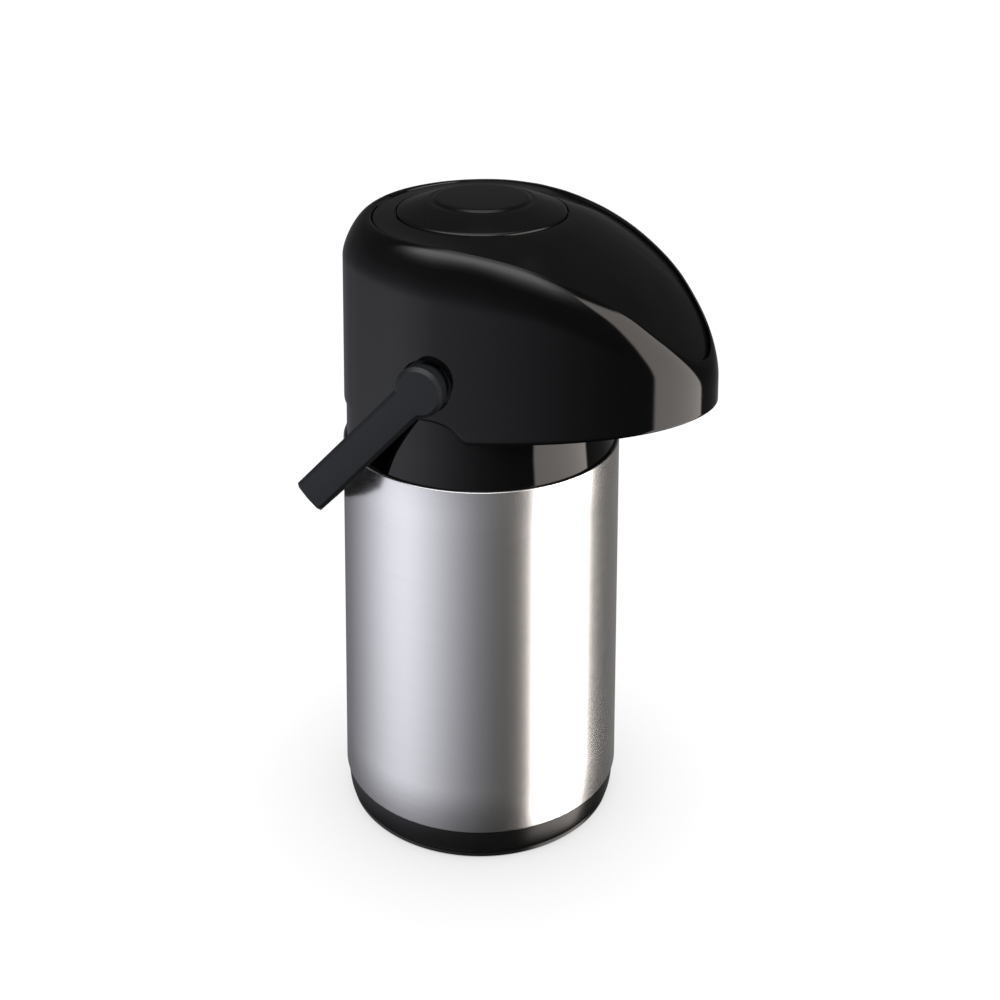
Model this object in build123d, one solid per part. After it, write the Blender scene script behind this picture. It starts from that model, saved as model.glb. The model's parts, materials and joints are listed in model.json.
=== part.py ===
from build123d import *
import math
import os

# Thermal coffee airpot, millimetres.
# +Z up, origin at the centre of the underside, pouring beak towards -Y, handle pivots on X.

# ---------------------------------------------------------------- driving dimensions
BODY_R = 65.0                       # steel casing, outside radius
CASING_WALL = 0.8
CASING_Z0, CASING_Z1 = 14.4, 177.8
COLLAR_R, COLLAR_TOP = 63.4, 213.0  # collar between casing and hood
HOOD_R = 64.46                      # rear radius of the hood
BEAK_REACH = 112.8                  # beak tip ahead of the pot axis
HOOD_WALL = 2.5
RIM_Z, RIM_SLOPE = 198.1, 0.0958    # hood rim height at the axis, and its rise towards the beak
CROWN_Z = 285.0                     # lid height round the button
LID_GAP = 0.8                       # groove between lid and hood
LID_T = 2.5
BUTTON_R, BUTTON_TOP, BUTTON_EDGE = 39.6, 293.0, 285.4
PIVOT_Z = 224.3                     # handle pivot axis
RUN_CLEAR = 0.05                    # running clearance, radial
HINGE_Y, HINGE_Z, HINGE_PIN_R = 55.5, 282.2, 1.2
HINGE_PIN_X = 19.5                  # half length of the pin
SIDES = (-1, 1)


# ---------------------------------------------------------------- helpers
def rev(points):
    """Ring or disc from a closed (radius, z) outline."""
    return revolve(make_face(Polyline(*[(r, 0, z) for r, z in points], close=True)), Axis.Z)


def ring(r0, r1, z0, z1):
    return rev([(r0, z0), (r1, z0), (r1, z1), (r0, z1)])


def box(x0, x1, y0, y1, z0, z1):
    """Box between limits; the x limits may come in either order."""
    return Pos((x0 + x1) / 2, (y0 + y1) / 2, (z0 + z1) / 2) * Box(abs(x1 - x0), y1 - y0, z1 - z0)


def cyl_x(r, x0, x1, y=0.0, z=0.0):
    """Cylinder along X; the x limits may come in either order."""
    return Pos((x0 + x1) / 2, y, z) * Rot(0, 90, 0) * Cylinder(r, abs(x1 - x0))


def cyl_z(r, z0, z1, x=0.0, y=0.0):
    return Pos(x, y, (z0 + z1) / 2) * Cylinder(r, z1 - z0)


def prism(face, z0, z1):
    """Plan outline raised between two heights."""
    return extrude(face, z1 - z0, dir=(0, 0, 1)).moved(Location((0, 0, z0)))


def polar(radius, angles):
    """Points on a circle, angles in degrees."""
    return [(radius * math.cos(math.radians(a)), radius * math.sin(math.radians(a)))
            for a in angles]


def solid(shape):
    """One plain solid, or a group of solids, from a boolean result."""
    found = shape.solids()
    return found[0] if len(found) == 1 else Compound(found)


# ---------------------------------------------------------------- hood plan and top surface
BACK_END = 5.45           # where the round back meets the beak sides, ahead of the axis
SIDE_PULL = 95.29         # Bezier handle length at the round back
TIP_PULL = 14.3           # Bezier handle length at the beak tip


def hood_plan(inset):
    """Plan outline of the hood: a round back drawn out to the beak, moved inwards by inset."""
    r = HOOD_R - inset
    ahead = BACK_END * r / HOOD_R
    half_w = math.sqrt(r * r - ahead * ahead)
    reach = BEAK_REACH - inset
    side_pull = SIDE_PULL * (1 - 0.011 * inset)
    tip_pull = TIP_PULL * (1 - 0.03 * inset)
    pull_x, pull_y = side_pull * ahead / r, side_pull * half_w / r
    sides = [Bezier((s * half_w, -ahead), (s * (half_w - pull_x), -ahead - pull_y),
                    (s * tip_pull, -reach), (0, -reach)) for s in (1, -1)]
    back = ThreePointArc((half_w, -ahead), (0, r), (-half_w, -ahead))
    return make_face(Curve() + [*sides, back])


# crown of the top: (distance ahead of the axis, centre height, sideways curvature)
CROWN = [
    (-80, 284.8, .0004), (-35, 285.0, .0004), (0, CROWN_Z, .0004), (19.5, CROWN_Z, .0011),
    (29.3, CROWN_Z, .00185), (39.7, 284.7, .003), (48.8, 281.2, .003), (55.3, 278.1, .003),
    (62.8, 273.9, .003), (71.5, 268.0, .003), (78.5, 262.9, .003), (86.2, 256.2, .003),
    (93.5, 247.8, .003), (100.8, 238.0, .003), (107.9, 227.8, .003), (116.0, 215.5, .003),
]
CROWN_LOW = 150.0         # flat underside of the crown body
CROWN_HALF_W = 75
STATION_FIRST, STATION_STEP, STATION_COUNT = -76.0, 8.0, 25


def smooth(table, u, col):
    """Monotone cubic through the table's column, at distance u."""
    n = len(table)
    u = min(max(u, table[0][0]), table[-1][0])
    chord = [(table[i + 1][col] - table[i][col]) / (table[i + 1][0] - table[i][0])
             for i in range(n - 1)]
    slope = [chord[0]]
    for before, after in zip(chord, chord[1:]):
        turning = before * after <= 0
        slope.append(0.0 if turning else 2 * before * after / (before + after))
    slope.append(chord[-1])
    i = min(max(j for j in range(n) if table[j][0] <= u), n - 2)
    span = table[i + 1][0] - table[i][0]
    t = (u - table[i][0]) / span
    return (table[i][col] * (2 * t ** 3 - 3 * t * t + 1)
            + slope[i] * span * (t ** 3 - 2 * t * t + t)
            + table[i + 1][col] * (3 * t * t - 2 * t ** 3)
            + slope[i + 1] * span * (t ** 3 - t * t))


def crown_body(drop):
    """Everything under the top surface, lowered by drop."""
    faces = []
    w = CROWN_HALF_W
    for j in range(STATION_COUNT):
        u = STATION_FIRST + STATION_STEP * j
        mid_z = smooth(CROWN, u, 1) - drop
        edge_z = mid_z - smooth(CROWN, u, 2) * w * w
        top = ThreePointArc((-w, -u, edge_z), (0, -u, mid_z), (w, -u, edge_z))
        rest = Polyline((w, -u, edge_z), (w, -u, CROWN_LOW), (-w, -u, CROWN_LOW),
                        (-w, -u, edge_z))
        faces.append(make_face(Curve() + [top, rest]))
    return loft(faces)


crown_outer = crown_body(0.0)
crown_inner = crown_body(LID_T)

# ---------------------------------------------------------------- lid plan
LID_R, LID_AHEAD = 55.8, 3.5   # round back of the lid, and its centre ahead of the axis
LID_TIP = 108.6                # lid tip ahead of the axis
# side of the lid: (distance ahead of the axis, half width); the first only sets a direction
LID_SIDE = [
    (12.4, 54.7), (20.9, 52.8), (29.4, 51.0), (37.8, 48.9), (46.3, 47.1), (54.7, 45.0),
    (62.8, 42.2), (67.5, 40.1), (72.9, 37.5), (78.5, 34.6), (86.2, 30.2), (93.5, 24.6),
    (100.8, 17.6), (103.4, 14.3), (106.0, 9.6), (107.5, 6.0),
]


def lid_plan(grow):
    """Plan outline of the lid, grown outwards by grow."""
    base = [(w, -u) for u, w in LID_SIDE]
    r = LID_R + grow
    side = [(r, -LID_AHEAD)]
    for i in range(1, len(base)):
        before, after = base[i - 1], base[min(i + 1, len(base) - 1)]
        dx, dy = after[0] - before[0], after[1] - before[1]
        length = math.hypot(dx, dy)
        side.append((base[i][0] - grow * dy / length, base[i][1] + grow * dx / length))
    plus_side, minus_side = [
        Spline(*[(s * x, y) for x, y in side], tangents=[(0, -1), (-0.90 * s, -0.43)])
        for s in (1, -1)]
    end_x, end_y = side[-1]
    tip = ThreePointArc((end_x, end_y), (0, -LID_TIP - grow), (-end_x, end_y))
    rear = ThreePointArc((r, -LID_AHEAD), (0, r - LID_AHEAD), (-r, -LID_AHEAD))
    return make_face(Curve() + [plus_side, tip, minus_side, rear])


# ---------------------------------------------------------------- hood
PIVOT_HOLE_R = 12.0
HOOD_SCREWS = polar(57.4, (35, 145, 215, 325))
LEDGE_Z0, LEDGE_Z1 = COLLAR_TOP + 0.1, COLLAR_TOP + 3.0   # ring inside the hood, on the collar


def below_rim(lift):
    """Block whose top is the rim plane raised by lift. Behind the axis the plane is level."""
    top = RIM_Z + lift
    tilt = Rot(-math.degrees(math.atan(RIM_SLOPE)), 0, 0)
    front = Pos(0, 0, top) * tilt * Pos(0, -100, -50) * Box(300, 200, 100)
    return front + box(-150, 150, 0, 150, top - 100, top)


def rim_arch():
    """Arched cutter along X, for the notch in the rim on each side."""
    foot = [(-19.5, 190), (-19.5, 198.0), (-17.3, 200.4), (-12.2, 205.5)]
    end = foot[-1]
    profile = make_face(Curve() + [
        Polyline(*foot),
        ThreePointArc(end, (0, 208.4), (-end[0], end[1])),
        Polyline(*[(-y, z) for y, z in foot[::-1]], foot[0])])
    return extrude(Plane.YZ * profile, 80, both=True)


def is_upright(edge):
    size = edge.bounding_box().size
    return size.X < 1 and size.Y < 1


def hood_shell():
    outside = prism(hood_plan(0.0), 190, 320) & crown_outer
    top_edges = [e for e in outside.edges()
                 if e.bounding_box().min.Z > 200 and e.bounding_box().size.Z < 120
                 and e.center().Z > 214 and not is_upright(e)]
    outside = fillet(top_edges, 9.5)
    inside = prism(hood_plan(HOOD_WALL), 180, 320) & crown_inner
    inside = fillet([e for e in inside.edges() if e.center().Z > 214 and not is_upright(e)], 7.0)

    hood = outside - inside - prism(lid_plan(LID_GAP / 2), 205, 325) - below_rim(0.0)
    hood -= cyl_z(COLLAR_R + RUN_CLEAR, 180, LEDGE_Z0)
    hood += ring(53.0, 62.6, LEDGE_Z0, LEDGE_Z1) & outside
    # hinge cheeks either side of the barrel pocket, and the pocket itself
    for s in SIDES:
        hood += box(s * 16.3, s * 21, 51.6, 62.0, 272.5, 290) & outside
    hood -= box(-16.2, 16.2, 50.0, 59.0, 276.5, 300)
    hood -= cyl_x(HINGE_PIN_R, -HINGE_PIN_X, HINGE_PIN_X, HINGE_Y, HINGE_Z)
    hood -= rim_arch()
    hood -= cyl_x(PIVOT_HOLE_R, -80, 80, 0, PIVOT_Z)
    # ledge notches for the collar ears, then for the delivery tube
    hood -= (box(-63, -52, -13.5, 13.5, COLLAR_TOP, 217)
             + box(52, 63, -13.5, 13.5, COLLAR_TOP, 217))
    hood -= box(-8, 8, -66, -50, COLLAR_TOP, 217)
    for x, y in HOOD_SCREWS:
        hood -= cyl_z(1.6, COLLAR_TOP - 2, COLLAR_TOP + 5, x, y)
    return hood


def hood_screws():
    return Compound([cyl_z(1.4, 202.0, LEDGE_Z1, x, y) + cyl_z(2.9, LEDGE_Z1, LEDGE_Z1 + 2, x, y)
                     for x, y in HOOD_SCREWS])


# ---------------------------------------------------------------- lid
LID_SCREWS = [(34.0, -33.0), (-34.0, -33.0), (34.0, 33.0), (-34.0, 33.0)]
LID_SCREW_R = 1.5
TAB_Z0, TAB_Z1 = 265.0, 268.0   # housing tabs under the lid bosses
TONGUE_X = 15.8                 # half width of the hinge tongue


def lid_panel():
    lid = (prism(lid_plan(-LID_GAP / 2), 200, 320) & crown_outer) - crown_inner
    lid -= cyl_z(BUTTON_R + 0.7, 250, 300)
    for x, y in LID_SCREWS:
        lid += cyl_z(3.6, TAB_Z1, 290, x, y) & crown_inner.moved(Location((0, 0, 0.3)))
        lid -= cyl_z(LID_SCREW_R, 260.0, 278.0, x, y)
    tongue = box(-TONGUE_X, TONGUE_X, 49.0, HINGE_Y, HINGE_Z - 1.2, HINGE_Z + 2.3)
    lid += tongue + cyl_x(2.5, -TONGUE_X, TONGUE_X, HINGE_Y, HINGE_Z)
    lid -= cyl_x(HINGE_PIN_R + RUN_CLEAR, -17, 17, HINGE_Y, HINGE_Z)
    # trimmed round the hinge so that the tip swings up inside the groove
    swing_r = math.hypot(108.4 + HINGE_Y, 228.0 - HINGE_Z) - 0.3
    lid &= cyl_x(swing_r, -80, 80, HINGE_Y, HINGE_Z)
    return lid


def lid_hinge_pin():
    return cyl_x(HINGE_PIN_R, -HINGE_PIN_X, HINGE_PIN_X, HINGE_Y, HINGE_Z)


def lid_screws():
    return Compound([cyl_z(3.0, TAB_Z0 - 2, TAB_Z0, x, y) + cyl_z(LID_SCREW_R, TAB_Z0, 276.0, x, y)
                     for x, y in LID_SCREWS])


# ---------------------------------------------------------------- pump
GUIDE_R0, GUIDE_R1, GUIDE_Z0 = BUTTON_R + 0.08, 41.8, 234.5   # guide tube for the button
CUP_R0, CUP_R1 = 31.0, 33.0                                   # cup round the bellows
PUMP_PLATE_Z = 211.5
BELLOWS_R, BELLOWS_Z0, BELLOWS_Z1 = 29.0, 214.5, 255.5
BELLOWS_FOLDS, FOLD_DEPTH, BELLOWS_CUFF = 7, 6.0, 1.5
BELLOWS_CAP_TOP = BELLOWS_Z1 + 2.5
SPRING_R, WIRE_R, SPRING_TURNS = 12.5, 0.9, 6.5


def pump_housing():
    housing = (ring(GUIDE_R0, GUIDE_R1, GUIDE_Z0, 290)
               + ring(CUP_R0, GUIDE_R1, GUIDE_Z0 - 2, GUIDE_Z0)
               + ring(CUP_R0, CUP_R1, BELLOWS_Z0, GUIDE_Z0))
    tab_z = (TAB_Z0 + TAB_Z1) / 2
    for x, y in LID_SCREWS:
        turn = Rot(0, 0, math.degrees(math.atan2(y, x)))
        tab = Pos(0, 0, tab_z) * turn * Pos(45.5, 0, 0) * Box(9.4, 8, TAB_Z1 - TAB_Z0)
        housing += tab + cyl_z(4.0, TAB_Z0, TAB_Z1, x, y)
        housing -= cyl_z(1.6, 260, 270, x, y)
    housing = housing & crown_inner
    # clears the tabs out of the button bore
    housing -= cyl_z(GUIDE_R0, GUIDE_Z0, 300)
    return housing


def pump_plate():
    return ring(4.0, CUP_R1, PUMP_PLATE_Z, BELLOWS_Z0)


def pump_seal():
    return ring(9.0, 14.0, STOPPER_TOP, PUMP_PLATE_Z)


def air_valve_flap():
    return cyl_z(7.5, BELLOWS_Z0, BELLOWS_Z0 + 0.7)


def bellows():
    """Pleated rubber tube, open at both ends."""
    fold_h = (BELLOWS_Z1 - BELLOWS_Z0 - 2 * BELLOWS_CUFF) / BELLOWS_FOLDS
    first = BELLOWS_Z0 + BELLOWS_CUFF
    outer = [(BELLOWS_R, BELLOWS_Z0), (BELLOWS_R, first)]
    for i in range(BELLOWS_FOLDS):
        outer.append((BELLOWS_R - FOLD_DEPTH, first + (i + 0.5) * fold_h))
        outer.append((BELLOWS_R, first + (i + 1) * fold_h))
    outer.append((BELLOWS_R, BELLOWS_Z1))
    # the wall is thicker at the peaks than in the valleys
    inner = [(r - 1.3 if r < BELLOWS_R - 1 else r - 2.2, z) for r, z in outer]
    return rev(outer + inner[::-1])


def bellows_cap():
    return cyl_z(BELLOWS_R, BELLOWS_Z1, BELLOWS_CAP_TOP)


def return_spring():
    height = BELLOWS_Z1 - BELLOWS_Z0 - 2 * WIRE_R - 1.2
    helix = Helix(pitch=height / SPRING_TURNS, height=height, radius=SPRING_R)
    coil = sweep(Plane(origin=helix @ 0, z_dir=helix % 0) * Circle(WIRE_R), path=helix)
    return coil.moved(Location((0, 0, BELLOWS_Z0 + WIRE_R + 0.9)))


# ---------------------------------------------------------------- push button
DISC_R = 22.4             # raised disc in the middle of the button
SKIRT_Z = 250.0


def push_button():
    skirt_top = (BUTTON_R, 0, BUTTON_EDGE - 1.2)
    edge_top = (BUTTON_R - 1.2, 0, BUTTON_EDGE)
    dish_end = (DISC_R + 1.6, 0, BUTTON_TOP - 1.9)
    disc_edge = (DISC_R, 0, BUTTON_TOP - 0.25)
    profile = make_face(Curve() + [
        Polyline((0, 0, SKIRT_Z), (BUTTON_R, 0, SKIRT_Z), skirt_top),
        ThreePointArc(skirt_top, (BUTTON_R - 0.35, 0, BUTTON_EDGE - 0.35), edge_top),
        ThreePointArc(edge_top, (31.5, 0, BUTTON_EDGE + 3.3), dish_end),
        Line(dish_end, disc_edge),
        Polyline(disc_edge, (DISC_R - 1.6, 0, BUTTON_TOP), (0, 0, BUTTON_TOP), (0, 0, SKIRT_Z))])
    button = revolve(profile, Axis.Z)
    button -= rev([(0, 240), (37.4, 240), (37.4, 283.0), (24.0, 288.6), (0, 288.6)])
    button -= ring(36, 45, 240, 262.0)
    # tube down to the bellows cap, and six ribs round it
    button += ring(20.0, 22.0, BELLOWS_CAP_TOP, 289.4)
    for angle in (0, 60, 120):
        rib = Rot(0, 0, angle) * box(-37.8, 37.8, -0.8, 0.8, 274.0, 283.6)
        button += rib - cyl_z(21.0, 250, 300)
    return button


# ---------------------------------------------------------------- casing, base and foot
FOOT_R, FOOT_TOP = 61.0, 2.9
BASE_FLOOR = 6.4          # inside floor of the base cup
SWIVEL_R, SWIVEL_TOP = 8.0, 6.6
SWIVEL_SCREW_R = 1.5
PAD_T = 1.5
PADS = [(0.0, 0.0, 9.0)] + [(x, y, 5.0) for x, y in polar(54.0, range(0, 360, 60))]  # x, y, r


def steel_casing():
    tube = ring(BODY_R - CASING_WALL, BODY_R, CASING_Z0, CASING_Z1)
    rims = [e for e in tube.edges().filter_by(GeomType.CIRCLE) if abs(e.radius - BODY_R) < 1e-3]
    return fillet(rims, 0.35)


def base_cup():
    base = rev([
        (0, 4.2), (58.0, 4.2), (60.2, FOOT_TOP + 0.25), (61.9, FOOT_TOP + 0.25), (62.5, 4.6),
        (63.6, 8.6), (64.1, 13.2), (64.1, 26.0), (61.8, 26.0), (61.8, 9.0),
        (60.0, BASE_FLOOR), (0, BASE_FLOOR)])
    base -= cyl_z(SWIVEL_R + RUN_CLEAR, 0, 10)
    return base


def swivel_foot():
    foot = rev([
        (0, 0.5), (60.4, 0.5), (FOOT_R, 1.1), (61.3, FOOT_TOP - 0.3), (60.9, FOOT_TOP),
        (57.5, FOOT_TOP), (56.0, 3.6), (0, 3.6)])
    foot += cyl_z(SWIVEL_R, 3.6, SWIVEL_TOP)
    foot -= cyl_z(SWIVEL_SCREW_R, 2.0, 8.0)
    for x, y, r in PADS:
        foot -= cyl_z(r, -1, PAD_T, x, y)
    return foot


def foot_pads():
    return Compound([cyl_z(r, 0.0, PAD_T, x, y) for x, y, r in PADS])


def swivel_washer():
    return ring(SWIVEL_SCREW_R, 13.0, SWIVEL_TOP, 8.0)


def swivel_screw():
    return cyl_z(3.2, 8.0, 10.0) + cyl_z(SWIVEL_SCREW_R, 2.0, 8.0)


# ---------------------------------------------------------------- vacuum refill
GLASS_R, GLASS_WALL, VACUUM = 59.5, 2.0, 3.0
NECK_R_IN, NECK_R_OUT, NECK_TOP = 24.0, 30.0, 188.0
NECK_GASKET_TOP = NECK_TOP + 2


def bottle(r, z_bot, z_wall, z_shoulder, r_neck, z_neck, top):
    """Solid bottle shape: domed bottom, straight wall, round shoulder, straight neck."""
    dome_h, shoulder_h, step = z_wall - z_bot, z_neck - z_shoulder, r - r_neck
    dome = Spline(
        (0, 0, z_bot), (r * 0.55, 0, z_bot + dome_h * 0.14),
        (r * 0.88, 0, z_bot + dome_h * 0.48), (r, 0, z_wall),
        tangents=[(1, 0, 0), (0, 0, 1)])
    shoulder = Spline(
        (r, 0, z_shoulder), (r - step * 0.22, 0, z_shoulder + shoulder_h * 0.52),
        (r - step * 0.72, 0, z_shoulder + shoulder_h * 0.85), (r_neck, 0, z_neck),
        tangents=[(0, 0, 1), (-0.75, 0, 0.66)])
    neck = Polyline((r_neck, 0, z_neck), (r_neck, 0, top), (0, 0, top), (0, 0, z_bot))
    wall = Line((r, 0, z_wall), (r, 0, z_shoulder))
    return revolve(make_face(Curve() + [dome, wall, shoulder, neck]), Axis.Z)


glass_outside = bottle(GLASS_R, 17.0, 40.0, 142.0, NECK_R_OUT, 176.0, NECK_TOP)


def glass_refill():
    """Double-walled bottle with a closed vacuum space between the walls."""
    vacuum_r = GLASS_R - GLASS_WALL
    inner_r = vacuum_r - VACUUM
    vacuum_out = bottle(vacuum_r, 19.0, 41.0, 141.5, NECK_R_OUT - 1.8, 174.6, 182.0)
    vacuum_in = bottle(inner_r, 23.0, 44.0, 139.5, NECK_R_IN + 1.8, 171.0, 190.0)
    cavity = bottle(inner_r - GLASS_WALL, 25.0, 45.0, 139.0, NECK_R_IN, 169.5, 195.0)
    return (glass_outside - (vacuum_out - vacuum_in)) - cavity


def refill_cradle():
    return ring(14.0, 50.0, BASE_FLOOR, BASE_FLOOR + 2) + ring(38.0, 40.0, BASE_FLOOR + 2, 12.0)


def refill_pad():
    return ring(18.0, 38.0, BASE_FLOOR + 2, 24.0) - glass_outside


def shoulder_gasket():
    top_trim = rev([(30.6, 160), (44, 160), (44, 184.9), (30.6, 182.7)])
    return (ring(30.6, 44.0, 166.0, 184.0) - glass_outside) & top_trim


def neck_gasket():
    return ring(24.4, NECK_R_OUT, NECK_TOP, NECK_GASKET_TOP)


# ---------------------------------------------------------------- collar
EAR_X0, EAR_X1, EAR_R = 53.5, 58.5, 12.0   # pivot ears standing on the collar
BUSH_R = 9.0


def shoulder_collar():
    collar = rev([
        (61.0, 166.0), (64.15, 166.0), (64.15, CASING_Z1 - 0.1), (COLLAR_R, CASING_Z1 + 0.1),
        (COLLAR_R, COLLAR_TOP), (61.0, COLLAR_TOP)])
    collar += rev([(31.0, 183.0), (61.5, 188.0), (61.5, 190.2), (31.0, 185.4)])
    for s in SIDES:
        lug = box(s * EAR_X0, s * 62.5, -EAR_R, EAR_R, 189.0, COLLAR_TOP)
        lug = lug & cyl_z(COLLAR_R, 150, 250)
        ear = (box(s * EAR_X0, s * EAR_X1, -EAR_R, EAR_R, COLLAR_TOP, PIVOT_Z)
               + cyl_x(EAR_R, s * EAR_X0, s * EAR_X1, 0, PIVOT_Z))
        collar += lug + ear
    collar -= cyl_x(BUSH_R, -70, 70, 0, PIVOT_Z)
    for x, y in HOOD_SCREWS:
        collar += cyl_z(4.4, 196.0, COLLAR_TOP, x, y) & cyl_z(61.5, 150, 250)
        collar -= cyl_z(1.4, 200.0, COLLAR_TOP + 1, x, y)
    collar -= cyl_x(12.0, -70, -59.9, 0, PIVOT_Z) + cyl_x(12.0, 59.9, 70, 0, PIVOT_Z)
    # way through for the delivery tube
    collar -= box(-6.5, 6.5, -66, -50, 201.0, 220)
    return collar


# ---------------------------------------------------------------- stopper, tubes and spout
TUBE_R, TUBE_IN = 5.0, 3.6     # outside and bore radius
PORT_Z = 203.0                 # delivery tube axis at the stopper
DIP_TOP = 192.0
STOPPER_R, STOPPER_TOP = 21.0, 210.5
SEAL_R, SEAL_Z0, SEAL_Z1 = 20.0, 178.0, 182.0   # gasket groove
BALL_R = 3.9
SPOUT_Y = -96.0
FLOOR_LIFT, FLOOR_T = 2.6, 2.0  # beak floor above the rim plane


def stopper():
    body = rev([
        (0, 170.0), (STOPPER_R, 170.0), (STOPPER_R, SEAL_Z0), (SEAL_R, SEAL_Z0),
        (SEAL_R, SEAL_Z1), (STOPPER_R, SEAL_Z1), (STOPPER_R, NECK_GASKET_TOP),
        (NECK_R_OUT, NECK_GASKET_TOP), (NECK_R_OUT, 194.0), (18.0, 194.0),
        (18.0, STOPPER_TOP), (0, STOPPER_TOP)])
    body -= cyl_z(TUBE_R, 160, DIP_TOP)
    body -= cyl_z(4.4, 190, 206.0)
    body -= Pos(0, -15, PORT_Z) * Rot(90, 0, 0) * Cylinder(TUBE_R + 0.02, 30)
    body -= cyl_z(2.2, 160, 220, 0, 12.5)
    return body


def stopper_gasket():
    return ring(SEAL_R, NECK_R_IN, SEAL_Z0, SEAL_Z1)


def dip_tube():
    return ring(TUBE_IN, TUBE_R, 31.0, DIP_TOP)


def anti_tip_ball():
    """Ball sitting on the bore of the dip tube, 0.05 clear."""
    return Pos(0, 0, DIP_TOP + math.sqrt(BALL_R ** 2 - TUBE_IN ** 2) + 0.05) * Sphere(BALL_R)


def delivery_tube():
    bend = (0, -32, PORT_Z)
    path = Line((0, -8, PORT_Z), bend) + Spline(
        bend, (0, -58, 211.8), (0, -82, 221.5), (0, SPOUT_Y, 214.6),
        tangents=[(0, -1, 0), (0, 0, -1)])
    start = Plane(origin=path @ 0, z_dir=path % 0)
    return sweep(start * Circle(TUBE_R), path=path) - sweep(start * Circle(TUBE_IN), path=path)


def beak_floor():
    region = hood_plan(HOOD_WALL + 0.35) - Circle(COLLAR_R + 0.2)
    region = region & Pos(0, -75) * Rectangle(140, 94)
    slab = below_rim(FLOOR_LIFT + FLOOR_T) - below_rim(FLOOR_LIFT)
    floor = prism(region, 185, 235) & slab
    floor -= cyl_z(7.6, 190, 230, 0, SPOUT_Y)
    return floor


def spout_nozzle():
    floor_top = RIM_Z + RIM_SLOPE * (-SPOUT_Y) + FLOOR_LIFT + FLOOR_T
    spout = (cyl_z(7.4, 204.2, 216.4, 0, SPOUT_Y)
             + cyl_z(9.6, floor_top + 1.0, floor_top + 2.6, 0, SPOUT_Y))
    spout -= cyl_z(TUBE_R + 1.9, 213.2, 230, 0, SPOUT_Y)
    spout -= cyl_z(TUBE_IN, 190, 230, 0, SPOUT_Y)
    return spout


# ---------------------------------------------------------------- carrying handle
# Built hanging straight down from the origin, then set back to rest.
BOSS_R, TRUNNION_R = 11.4, 7.0
BOSS_X0, TRUNNION_X0 = 60.2, 50.0
ARM_X0, ARM_X1, ARM_W = 67.0, 73.1, 15.8
GROOVE_X0, GROOVE_X1, GROOVE_R = 51.2, 52.4, 5.6   # clip groove in the trunnion
REST_ANGLE = 43.0         # degrees from straight down towards the back
AT_REST = Location((0, 0, PIVOT_Z)) * Location((0, 0, 0), (1, 0, 0), REST_ANGLE)
# bow of the handle: (x, drop below the pivot), from the +X arm to the middle
BOW_OUTER = [(73.125, 76.83), (58.5, 85.475), (45.5, 93.275), (32.5, 100.88),
             (16.25, 108.875), (0.0, 112.125)]
BOW_INNER = [(67.015, 70.525), (58.5, 75.725), (45.5, 83.85), (32.5, 91.52),
             (16.25, 100.425), (0.0, 104.325)]


def full_bow(half):
    """Both halves of a bow, from +X to -X."""
    return [(x, -drop) for x, drop in half] + [(-x, -drop) for x, drop in half[-2::-1]]


def handle_bail():
    outer, inner = full_bow(BOW_OUTER), full_bow(BOW_INNER)
    bail = make_face(Curve() + [
        Line((ARM_X1, 0), outer[0]), Spline(*outer), Line(outer[-1], (-ARM_X1, 0)),
        Line((-ARM_X1, 0), (-ARM_X0, 0)),
        Line((-ARM_X0, 0), inner[-1]), Spline(*inner), Line(inner[0], (ARM_X0, 0)),
        Line((ARM_X0, 0), (ARM_X1, 0))])
    handle = extrude(Plane.XZ * bail, ARM_W / 2, both=True)
    long_edges = [e for e in handle.edges()
                  if abs(abs(e.center().Y) - ARM_W / 2) < 0.01 and e.length > 40]
    handle = chamfer(long_edges, 1.6)
    for s in SIDES:
        handle += cyl_x(BOSS_R, s * BOSS_X0, s * ARM_X1)
        handle += cyl_x(TRUNNION_R, s * TRUNNION_X0, s * BOSS_X0)
        handle -= (cyl_x(9.6, s * GROOVE_X0, s * GROOVE_X1)
                   - cyl_x(GROOVE_R, s * GROOVE_X0, s * GROOVE_X1))
    return handle.moved(AT_REST)


def handle_clips():
    """Open rings in the trunnion grooves."""
    clips = []
    for s in SIDES:
        clip = (cyl_x(9.0, s * 51.3, s * 52.3)
                - cyl_x(GROOVE_R + RUN_CLEAR, s * GROOVE_X0, s * GROOVE_X1)
                - box(s * 51.0, s * 52.6, -4.4, 4.4, -12, 0))
        clips.append(solid(clip.moved(AT_REST)))
    return Compound(clips)


def handle_bushes():
    """Flanged bushes in the collar ears."""
    bushes = []
    for s in SIDES:
        bush = (cyl_x(BUSH_R, s * EAR_X0, s * EAR_X1, 0, PIVOT_Z)
                + cyl_x(10.6, s * EAR_X1, s * 59.8, 0, PIVOT_Z))
        bush -= cyl_x(TRUNNION_R + RUN_CLEAR, s * 50, s * 62, 0, PIVOT_Z)
        bushes.append(solid(bush))
    return Compound(bushes)


# ---------------------------------------------------------------- export
PIECES = [
    hood_shell, hood_screws, lid_panel, lid_hinge_pin, lid_screws,
    pump_housing, pump_plate, pump_seal, air_valve_flap, bellows, bellows_cap, return_spring,
    push_button, steel_casing, base_cup, swivel_foot, foot_pads, swivel_washer, swivel_screw,
    glass_refill, refill_cradle, refill_pad, shoulder_gasket, neck_gasket, shoulder_collar,
    stopper, stopper_gasket, dip_tube, anti_tip_ball, delivery_tube, beak_floor, spout_nozzle,
    handle_bail, handle_clips, handle_bushes,
]

os.makedirs("parts", exist_ok=True)
for piece in PIECES:
    export_step(solid(piece()), f"parts/{piece.__name__}.step")
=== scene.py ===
import json
import math
import bpy
import bmesh
import numpy as np
from mathutils import Matrix, Vector


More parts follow.
